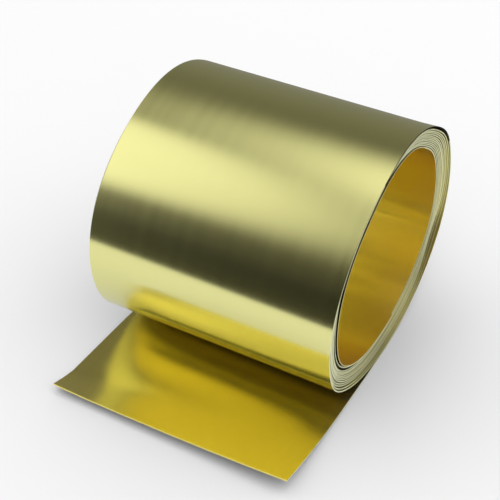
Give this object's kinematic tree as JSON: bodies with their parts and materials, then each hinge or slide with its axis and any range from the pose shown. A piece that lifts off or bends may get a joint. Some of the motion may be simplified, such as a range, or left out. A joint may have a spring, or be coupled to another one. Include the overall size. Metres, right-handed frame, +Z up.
{
  "type": "roll of brass strip",
  "caption": "Roll of thin brass strip wound into a coil with an open bore, lying on its side on its own loose end, which curls up slightly in front.",
  "frame": {"origin": "on the floor under the coil's axis, at mid width, on the underside of the strip that the coil lies on", "axes": "+X along the coil's axis and across the strip, towards the end whose inner turns are recessed; -Y from the axis towards the free end of the strip; +Z up"},
  "size_m": [0.102, 0.138, 0.106],
  "materials": {
    "brass": "bright cold-rolled brass with fine rolling lines along the strip"
  },
  "bodies": {
    "root": {"brass_strip": "brass"}
  },
  "joints": []
}
